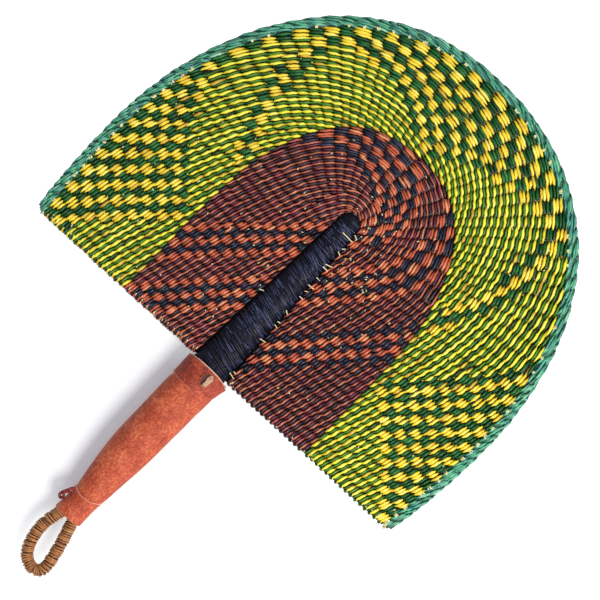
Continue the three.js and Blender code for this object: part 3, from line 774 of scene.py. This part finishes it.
# Points round the spine, inside its surface by a depth. They slant down to the right, less and less
# towards the tip.
def roundSpine(run, y, angle, depth=0.0, narrow=1.0):
    halfWidth, halfThickness = (
        spineHalf(run, np.array(spine[key]) - depth) * narrow for key in ("halfWidth", "halfThickness"))
    fall, fade = wrap["slant"]
    x = halfWidth * np.sin(angle)
    fallen = fall * x * np.clip((tipCentre - run) / fade, 0, 1)
    return np.stack([x, y - fallen, halfThickness * np.cos(angle)], -1)


def spineWrap():
    turn = np.linspace(0, wrap["turns"], wrap["turns"] * wrap["steps"] + 1)
    tipReach = spine["halfWidth"][1]
    depth = wrap["half"][1]
    wholeRun = tipCentre - wrap["foot"] + tipReach * math.pi / 2 * wrap["tipShare"]
    run = turn / wrap["turns"] * wholeRun + wrap["foot"] + wander(turn, *wrap["stray"])
    lift = np.clip((run - tipCentre) / tipReach, 0, math.pi / 2)
    y = np.minimum(run, tipCentre) + (tipReach - depth) * np.sin(lift) ** wrap["bluntness"]
    angle = turn * 2 * math.pi
    path = roundSpine(run, y, angle, depth, np.cos(lift) ** wrap["bluntness"])
    outward = np.stack([
        np.sin(angle) / spine["halfWidth"][0], wrap["facing"][0] + lift * wrap["facing"][1],
        np.cos(angle) / spine["halfThickness"][0]], -1)
    # painted light and shade: the wrapping is paler on the right and darker on the left
    tint = wrap["tint"] + wander(turn, *wrap["tintWander"]) + wrap["paintedSideLight"] * np.sin(angle)
    return tube(path, wrap["half"], up=outward, tint=tint)


# Loose fibres of the wrapping lie over the front at small angles to the turns, more of them higher up
# their pale tints are partly the fibres' own colour and partly painted highlight along the turns
fibres = {
    "count": 420, "tilt": 0.9, "half": (0.18, 0.18), "points": 7, "crowding": 0.7,
    "middle": (-0.9, 1.2), "reach": (0.12, 0.5), "side": 1.5, "tint": (0.1, 1.45),
}


def looseFibre():
    foot = tipCentre * random.uniform() ** fibres["crowding"]
    middle, reach = draw(fibres["middle"]), draw(fibres["reach"])
    ends = np.clip([middle - reach, middle + reach], -fibres["side"], fibres["side"])
    angle = np.linspace(*ends, fibres["points"])
    y = foot + random.normal(0, fibres["tilt"]) * (angle - middle)
    return tube(roundSpine(y, y, angle), fibres["half"], 5, tint=draw(fibres["tint"]))


spineParts = [spineWrap()] + [looseFibre() for _ in range(fibres["count"])]
makePiece("spine_wrap", joined(spineParts), finishes["navy wrapping"], ["spine_winding"])

# Stitches: cream straws that come up beside the spine here and there and lie over its edge
stitches = {
    "shown": (0.12, 0.7),  # on the left and on the right
    "outside": (0.3, 2.4), "inside": (1.0, 2.6), "aside": (-0.4, 0.4), "skew": (-1.6, 1.6), "beyond": 2,
    "half": (0.37, 0.3), "margin": 0.4, "above": 0.3, "lowest": 2.9, "tint": (0.2, 1),
    "long": (28.2, 1.0, 8.0),  # station, outside and inside of the long one
}


def stitch(station, outside, inside):
    side, foot = spineLine(np.array([station]))[0]
    way = np.linspace(0, 1, 7)
    x = side + np.sign(side) * mix(outside, -inside, way)
    halfWidth = spineHalf(foot, spine["halfWidth"]) + stitches["margin"]
    onSpine = np.clip(1 - (x / halfWidth) ** 2, 0, 1) ** 0.5
    level = onSpine * spineHalf(foot, spine["halfThickness"]) + stitches["above"]
    path = np.stack([x, foot + draw(stitches["skew"]) * way, np.maximum(level, stitches["lowest"])], -1)
    return tube(path, stitches["half"], 5, tint=draw(stitches["tint"]))


stitchParts = []
for index in range(crossRibs + stitches["beyond"]):
    for shown, station in zip(stitches["shown"], (index + 0.5, lastStation - index - 0.5)):
        outside, inside = draw(stitches["outside"]), draw(stitches["inside"])
        if random.uniform() < shown:
            stitchParts.append(stitch(station + draw(stitches["aside"]), outside, inside))
stitchParts.append(stitch(*stitches["long"]))
makePiece("spine_stitches", joined(stitchParts), finishes["cream"])

# Straw ends: short ends stand out of the weave where straws were joined, and the outermost ribs
# show as pale beads along the bottom edge
strawEnds = {
    # count, line, range of stations, range of shares and a power that draws them inwards
    "places": [(70, innerRow, (0, lastStation), (0, 1), 1.6), (40, innerRow, (25, 33), (0.02, 0.45), 1),
               (50, outerRow, (0, lastStation), (0, 1), 1)],
    "edgeCount": 24, "fromEdge": (0.05, 0.45), "turn": 0.6, "length": (0.6, 1.7), "level": 2.5,
    "rise": (0.3, 1.0), "half": (0.4, 0.3), "taper": (1.2, 0.7), "tint": (0.1, 1),
    "beadEvery": 3, "beadShares": (0.8, 0.2), "beadSize": (2.4, 1.2, 0.42),  # rise, reach, half width
}


def strawEnd(line, station, share):
    start, ahead = line(np.array([station, station + 0.05]), share)
    along = unit(ahead - start)
    turn = random.normal(0, strawEnds["turn"])
    heading = along * math.cos(turn) + leftward(along) * math.sin(turn)
    return shortStraw(start, heading * draw(strawEnds["length"]), strawEnds)


endParts = [strawEnd(line, draw(stations), draw(shares) ** power)
            for count, line, stations, shares, power in strawEnds["places"] for _ in range(count)]
for _ in range(strawEnds["edgeCount"]):
    fromEdge = draw(strawEnds["fromEdge"])
    station = random.choice([fromEdge, lastStation - fromEdge])
    endParts.append(strawEnd(random.choice([innerRow, outerRow]), station, random.uniform()))
for row in range(1, innerField["rows"], strawEnds["beadEvery"]):
    shares = rowShares(row, innerField["rows"], strawEnds["beadShares"])
    endParts.append(turnBack(innerRow, shares, 0.0, *strawEnds["beadSize"]))
makePiece("straw_ends", joined(endParts), finishes["cream"])

# Leather: fine flecks over a faint mottle, pale where it is cut
hide = {
    "mottleScale": 110.0, "fleckScale": 760.0, "fleckStretch": (1.0, 0.7, 1.0), "grainScale": 1900.0,
    "shade": (0.5, 0.75, 0.6, -0.425),  # shares of mottle, fleck and grain, and what is added
    "cut": (242, 200, 174), "roughness": (0.42, 0.72), "bump": (0.8, 0.0006), "shine": 0.4,
}


def leatherFinish(name, dark, middle, pale):
    graph = Graph(name)
    mottle = graph.noise(hide["mottleScale"], 4.0, 0.6)
    fleck = graph.noise(hide["fleckScale"], 4.0, 0.65, hide["fleckStretch"])
    grain = graph.noise(hide["grainScale"], 2.0)
    mottleShare, fleckShare, grainShare, added = hide["shade"]
    shade = mottle * mottleShare + fleck * fleckShare + grain * grainShare + added
    body = graph.tones(shade, [(0.3, dark), (0.72, pale), (0.5, middle)])
    colour = graph.blend(graph.attribute("edge"), body, hide["cut"])
    return graph.finish(colour, mix(*hide["roughness"], fleck),
                        (grain * 0.5 + fleck, *hide["bump"]), hide["shine"])


leather = leatherFinish("terracotta leather", (138, 44, 22), (185, 74, 42), (224, 126, 84))
collarLeather = leatherFinish("collar leather", (104, 29, 16), (155, 53, 30), (202, 96, 63))
laceLeather = leatherFinish("lace leather", (66, 14, 14), (126, 34, 30), (172, 66, 56))

ringPoints = 72
around = circle(ringPoints)
rightward = np.cos(around)
profileY, profileWidth, profileThickness, profileBend = np.array(handle["profile"])[::-1].T


def smoothProfile(y, values):
    window = np.linspace(-handle["smoothing"], handle["smoothing"], 9)
    return np.interp(np.add.outer(y, window), profileY, values).mean(1)


# Rings of an oval tube round the handle: cosine and sine of the angle times the half sizes
def handleRings(y, growth, shift=0.0):
    level = np.broadcast_to(y[:, None] + shift, (len(y), ringPoints))
    bend, width, thickness = (
        smoothProfile(y, values)[:, None] for values in (profileBend, profileWidth, profileThickness))
    front = np.maximum((thickness + growth) * np.sin(around), handle["restLevel"])
    return np.stack([bend + (width + growth) * rightward, level, front], -1)


# Creases: the sum of waves that run round the handle a few times and slant along it
creases = {"waves": 7, "turns": (1, 5), "slope": (-0.22, 0.22)}


def crease(y, amount):
    wave = np.zeros((len(y), ringPoints))
    for _ in range(creases["waves"]):
        turns, slope = random.integers(*creases["turns"]), draw(creases["slope"])
        wave += np.sin(around * turns + y[:, None] * slope + random.uniform(0, 2 * math.pi))
    return amount * wave / creases["waves"] ** 0.5


# Sleeve with its lap seam along the back: the skin rises by half its thickness at one angle
sleeve = {
    "top": -2.9, "foot": -130.2, "rings": 130, "crease": 0.16,
    "seamAngle": -math.pi / 2, "lapHalf": 0.16, "lapRise": 0.55,
    "swell": (0.9, -18.6, 6.0),  # height, middle and reach under the upper collar
}
sleeveY = np.linspace(sleeve["top"], sleeve["foot"], sleeve["rings"])
fromSeam = (around - sleeve["seamAngle"] - sleeve["lapHalf"] + math.pi) % (2 * math.pi) - math.pi
lap = np.clip(1 - np.abs(fromSeam) / sleeve["lapHalf"], 0, 1) ** 0.5
merged = smoothStep(rightward, -0.05, 0.4)  # the upper collar runs into the sleeve on the right
swellHeight, swellMiddle, swellReach = sleeve["swell"]
swell = swellHeight * np.exp(-((sleeveY - swellMiddle) / swellReach) ** 2)
sleeveGrowth = crease(sleeveY, sleeve["crease"]) + sleeve["lapRise"] * lap + np.outer(swell, merged)
sleeveRings = [handleRings(sleeveY, sleeveGrowth), handleRings(sleeveY[::-1], -handle["wall"])]
makePiece("leather_sleeve_skin", skin(np.concatenate(sleeveRings), True), leather,
          ["leather_sleeve"], edge=0)

# Collars: leather bands over the sleeve with curved edges that show the pale cut
collars = {
    "rise": 1.0, "clearance": 0.25, "rounding": 0.35, "roundShare": 0.02, "footCut": 0.6,
    "sunk": (1.1, 0.55),  # depth of the foot in the sleeve, and share it starts from
}


# Shares run from 0 at the top to 1 at the foot. The edges' shifts fade with the square of the share.
def collar(name, material, top, foot, topShift, footShift, flare, rough, sunk, cut, replaced):
    share = np.concatenate([[0, cut / 4, cut], np.linspace(0.06, 0.95, 26), [0.98, 0.996, 1]])
    y = mix(top, foot, share)
    shift = topShift * (1 - share[:, None]) ** 2 + footShift * share[:, None] ** 2
    toEdge = np.minimum(share, 1 - share) / collars["roundShare"]
    rounding = collars["rounding"] * np.clip(1 - toEdge, 0, 1) ** 2
    growth = collars["rise"] + crease(y, rough) + flare(share) - rounding[:, None]
    depth, start = collars["sunk"]
    growth = growth - depth * np.outer(smoothStep(share, start, 1), sunk)
    inner = handleRings(y[::-1], collars["clearance"] + flare(share)[::-1], shift[::-1])
    rows = len(share)
    edge = np.zeros((2 * rows, ringPoints))
    edge[[0, 1, -1]] = 1
    edge[rows - 2:rows + 1] = collars["footCut"] * (1 - sunk)
    makePiece(name, skin(np.concatenate([handleRings(y, growth, shift), inner]), True), material,
              [replaced], edge)


frontward = np.clip(np.sin(around), 0, 1)
corner = np.clip(rightward, 0, 1) ** 5
collar("upper_collar_band", collarLeather, -2.6, -18.6, 2.8 * frontward - 0.6 - 1.4 * corner,
       0 * rightward, lambda share: np.outer((1 - share) ** 3, 0.3 * corner), 0.12,
       merged, 0.045, "upper_collar")
collar("lower_collar_band", leather, -112.6, -130.0, -1.0 + 2.6 * rightward ** 2 + 1.1 * rightward,
       0.3 * rightward, lambda share: np.outer(share ** 2, np.full(ringPoints, 0.5)), 0.14,
       0 * rightward, 0.02, "lower_collar")

# Straw core: the bundle inside the wrapping and the leather, oval rings up the handle and the spine
core = {
    "foot": -130.6, "handleTop": -2.5, "handleInset": 1.5, "spineInset": 1.1, "rings": 120, "blunt": 0.05,
}


def strawCore():
    y = np.linspace(core["foot"], spine["length"] - core["spineInset"] * 2, core["rings"])
    overTip = np.maximum(y - tipCentre, 0) / tipRadius
    narrow = np.sqrt(np.clip(1 - overTip ** 2, core["blunt"], 1))
    width, thickness = (
        (spineHalf(y, spine[key]) - core["spineInset"]) * narrow
        for key in ("halfWidth", "halfThickness"))
    inSpine = np.stack([
        np.outer(width, rightward), np.broadcast_to(y[:, None], (len(y), ringPoints)),
        np.outer(thickness, np.sin(around))], -1)
    inHandle = handleRings(y, -core["handleInset"])
    return skin(np.where(y[:, None, None] < core["handleTop"], inHandle, inSpine)[::-1], False)


makePiece("core_straw", strawCore(), finishes["navy wrapping"], ["straw_core"])
print("handle made")

# Peg: an oval stick that stands in its hole in the collar, with a slanting cut end. The hole is
# a dark patch just over the collar, painted shade for its hollow, inside a raised lip of leather.
peg = {
    "x": 5.1, "y": -7.3, "halfWidth": 1.75, "halfLength": 4.5, "foot": 4.0, "proud": 1.3,
    "slant": (0.25, 0.05), "squareness": 0.6,  # 1 would be an oval
    "wobble": [(3, 1, 0.08), (5, 0, 0.06), (9, 0, 0.04)],  # waves round the stick, phase and height
    # rings up the stick: share of the height, scale and how much is cut wood
    "rings": [(0, 1, 0), (0.3, 1, 0), (0.6, 1, 0), (0.85, 1, 0), (0.97, 1, 0.2),
              (1, 0.95, 1), (1, 0.6, 1), (1, 0.2, 1)],
    "holeHalfWidth": 3.2, "holeHalfLength": 4.6, "holeShift": -1.5, "holeUneven": 0.25,
    # rings of the hole from the lip's foot over its crest into its middle: reach, lift and share of
    # painted shade
    "holeRings": [(1.3, -0.3, 0), (1.18, 0.55, 0), (1.05, 0.8, 0), (0.95, 0.5, 0.5),
                  (0.88, 0.06, 1), (0.5, 0.06, 1), (0.1, 0.06, 1)],
}
pegAngle = circle(24)


# height of the collar's front at a place across the handle
def collarFront(x, y):
    width, thickness = (
        np.interp(y, profileY, values) + collars["rise"] for values in (profileWidth, profileThickness))
    return thickness * np.sqrt(np.clip(1 - (x / width) ** 2, 0, 1))


def woodFinish():
    graph = Graph("peg wood")
    grain = graph.noise(760.0, 4.0, 0.65, (0.25, 1, 1))
    patch = graph.noise(420.0, 2.0)
    cut = graph.tones(grain * 0.7 + patch * 0.4, [(0.42, (126, 86, 62)), (0.68, (214, 178, 146))])
    colour = graph.blend(graph.attribute("edge"), (70, 36, 26), cut)
    return graph.finish(colour, mix(0.6, 0.8, grain), (grain, 0.6, 0.0005))


def holeFinish():
    graph = Graph("peg hole")
    fleck = graph.noise(700.0)
    lip = graph.tones(fleck, [(0.3, (120, 42, 28)), (0.7, (176, 76, 54))])
    # painted shade: the middle of the hole is dark brown
    colour = graph.blend(graph.attribute("edge"), lip, (84, 30, 20))
    return graph.finish(colour, mix(0.6, 0.8, fleck), (fleck, 0.4, 0.0004))


pegShare, pegScale, pegCut = np.array(peg["rings"]).T[:, :, None]
pegWobble = 1 + sum(height * np.sin(waves * pegAngle + phase) for waves, phase, height in peg["wobble"])
pegX = peg["halfWidth"] * signedPower(np.cos(pegAngle), peg["squareness"]) * pegWobble * pegScale
pegY = peg["halfLength"] * signedPower(np.sin(pegAngle), peg["squareness"]) * pegWobble * pegScale
pegTop = collarFront(peg["x"], peg["y"]) + peg["proud"]
pegFall = peg["slant"][0] * pegX + peg["slant"][1] * pegY
pegZ = mix(peg["foot"], pegTop, pegShare) - pegShare * pegFall
makePiece("peg_stick", skin(np.stack([peg["x"] + pegX, peg["y"] + pegY, pegZ], -1), False), woodFinish(),
          ["handle_peg"], pegCut + 0 * pegX)

holeReach, holeLift, paintedHoleShade = np.array(peg["holeRings"]).T[:, :, None]
holeX = peg["x"] + peg["holeShift"] + peg["holeHalfWidth"] * holeReach * np.cos(pegAngle)
holeY = peg["y"] + peg["holeHalfLength"] * holeReach * np.sin(pegAngle)
holeZ = collarFront(holeX, holeY) + holeLift * (1 + peg["holeUneven"] * np.sin(2 * pegAngle + 2))
holeShape = skin(np.stack([holeX, holeY, holeZ], -1)[:, ::-1], False)
del holeShape["ends"][0]  # the lip's foot stays open
makePiece("peg_hole", holeShape, holeFinish(), (), paintedHoleShade + 0 * holeX)

# Lace: a thong that leaves the side of the lower collar, ties a knot and goes back in
lace = {
    "half": (0.95, 0.75), "up": (0.3, 0.2, 1.0),
    "route": [
        (-6.6, -114.2, 3.2), (-9.4, -114.6, 3.8), (-11.0, -117.6, 3.4), (-12.6, -121.2, 2.4),
        (-12.9, -123.6, 1.4), (-11.2, -124.8, 1.2), (-10.2, -122.8, 2.4), (-11.6, -120.6, 3.6),
        (-10.0, -118.4, 3.6), (-6.8, -117.6, 2.4),
    ],
}


# Centripetal Catmull-Rom spline through points: each stretch is a mean of means of means, weighted
# by knots that grow with the square root of the distance
def throughPoints(points, perStretch):
    points = np.concatenate([[2 * points[0] - points[1]], points, [2 * points[-1] - points[-2]]])
    knots = runLength(points, 0.5)
    stretch = np.arange(len(points) - 3)
    knot = [knots[stretch + step][:, None, None] for step in range(4)]
    means = [points[stretch + step][:, None] for step in range(4)]
    t = mix(knot[1], knot[2], (np.arange(perStretch) / perStretch)[None, :, None])
    for first, span in ((0, 1), (0, 2), (1, 1)):
        shares = [(t - low) / (high - low) for low, high in zip(knot[first:], knot[first + span:])]
        means = [mix(*ends) for ends in zip(means, means[1:], shares)]
    return np.concatenate([means[0].reshape(-1, points.shape[1]), points[-2:-1]])


laceShape = tube(throughPoints(np.array(lace["route"]), 8), lace["half"], 8, lace["up"])
makePiece("lace_knot", laceShape, laceLeather, ["collar_lace"], edge=0)

# Hanging loop: golden straw wound round the rope, about sixty turns from end to end
loop = {
    "length": 41.4, "halfWidth": 8.85, "swing": 6.7, "ropeHalf": 4.2, "ropeCore": 2.9,
    # shares of the length and of the half width, down one side
    "shape": [(-0.08, 0.5), (0, 0.58), (0.33, 0.92), (0.62, 1.0), (0.8, 0.92), (0.93, 0.66)],
    "turns": 62, "steps": 14, "half": (0.88, 0.72),
    "overrun": 0.8,  # of the winding past the rope's ends
    # how far run, radius and tint wander, and their shortest and longest wave in turns
    "stray": (0.32, 0.9, 4.0), "bulge": (0.13, 1.2, 6.0), "tintWander": (0.22, 0.5, 6.0), "tint": 0.5,
}


def loopCurve():
    depth = loop["length"] - loop["ropeHalf"]
    down, out = np.array(loop["shape"]).T
    side = np.concatenate([-out, [0], out[::-1]]) * loop["halfWidth"]
    share = np.concatenate([down, [1], down[::-1]])
    return throughPoints(np.stack([
        side + loop["swing"] * share * np.abs(share), -handle["length"] - depth * share], -1), 24)


def loopWrap(curve):
    length = runLength(curve)

    def pointAt(run):
        return np.stack([np.interp(run, length, values) for values in curve.T], -1)

    turn = np.linspace(0, loop["turns"], loop["turns"] * loop["steps"] + 1)
    run = turn / loop["turns"] * (length[-1] + 2 * loop["overrun"]) - loop["overrun"]
    run = run + wander(turn, *loop["stray"])
    onRope = np.clip(run, 0, length[-1])
    along = unit(pointAt(onRope + 0.4) - pointAt(onRope - 0.4))
    middle = pointAt(onRope) + along * (run - onRope)[:, None]
    angle = turn * 2 * math.pi
    outward = raised(leftward(along) * np.cos(angle)[:, None], np.sin(angle))
    radius = loop["ropeHalf"] - loop["half"][1] + wander(turn, *loop["bulge"])
    tint = loop["tint"] + wander(turn, *loop["tintWander"])
    return tube(raised(middle) + outward * radius[:, None], loop["half"], up=outward, tint=tint)


rope = tube(raised(loopCurve()), (loop["ropeCore"], loop["ropeCore"]), 10)
makePiece("loop_wrap", loopWrap(loopCurve()), finishes["golden"],
          ["hanging_loop_winding"])
makePiece("loop_rope", rope, finishes["golden"], ["hanging_loop_rope"])
print("loop made")

# Stage: white floor, even light from above with a large lamp on the right, camera straight above
stage = {
    "floorHalf": 3.0, "floorColour": (0.92, 0.945, 1.0, 1), "glowStrength": 1.5,
    "glowReach": (0.05, 0.13), "glowShare": (0.12, 0.8),
    "sky": {"Color": (0.9, 0.95, 1.06, 1), "Strength": 0.46},
    "lamp": {"shape": "DISK", "size": 0.6, "energy": 16.0, "color": (1.0, 0.95, 0.86)},
    "lampPlace": (0.75, -0.1, 1.0),
}
floorMesh = bpy.data.meshes.new("floor")
half = stage["floorHalf"]
floorMesh.from_pydata(
    [(-half, -half, 0), (half, -half, 0), (half, half, 0), (-half, half, 0)], [], [(0, 1, 2, 3)])
floor = addObject("floor", floorMesh)

# the floor shows its shadow near the handle and is plain white further away
white = Graph("white floor")
rays = [white.node("LightPath", output=f"Is {kind} Ray")
        for kind in ("Camera", "Glossy", "Transmission")]
matte = white.node("BsdfDiffuse", {"Color": stage["floorColour"]})
glow = white.node("Emission", {"Color": (1, 1, 1, 1), "Strength": stage["glowStrength"]})
handleMiddle = [float(value) for value in toRow((0, -handle["length"] / 2, handle["restLevel"]))]
away = white.node("VectorMath", {
    0: white.node("TexCoord", output="Object"), 1: handleMiddle}, "Value", operation="DISTANCE")
glowing = (rays[0] + rays[1] + rays[2]) * white.mapped(away, stage["glowReach"], stage["glowShare"])
surface = white.node("MixShader", {0: glowing, 1: matte, 2: glow})
white.node("OutputMaterial", {"Surface": surface})
floorMesh.materials.append(white.material)

world = bpy.data.worlds.new("studio")
world.use_nodes = True
for key, value in stage["sky"].items():
    world.node_tree.nodes["Background"].inputs[key].default_value = value
bpy.context.scene.world = world

lampData = bpy.data.lights.new("key", "AREA")
for key, value in stage["lamp"].items():
    setattr(lampData, key, value)
lamp = addObject("key", lampData)
lamp.location = stage["lampPlace"]
lamp.rotation_euler = (-lamp.location).to_track_quat("-Z", "Y").to_euler()

# the picture shows 377 mm at the blade's middle plane
view = {"centre": (10.99, 68.83, 0.0), "distance": 1.087, "halfFrame": 0.1885, "turn": 44.0}
cameraData = bpy.data.cameras.new("camera")
cameraData.angle = 2 * math.atan(view["halfFrame"] / view["distance"])
camera = addObject("camera", cameraData)
camera.location = toRow(view["centre"]) + np.array([0, 0, view["distance"]])
camera.rotation_euler = (0, 0, math.radians(view["turn"]))
bpy.context.scene.camera = camera
bpy.context.scene.view_settings.view_transform = "Standard"
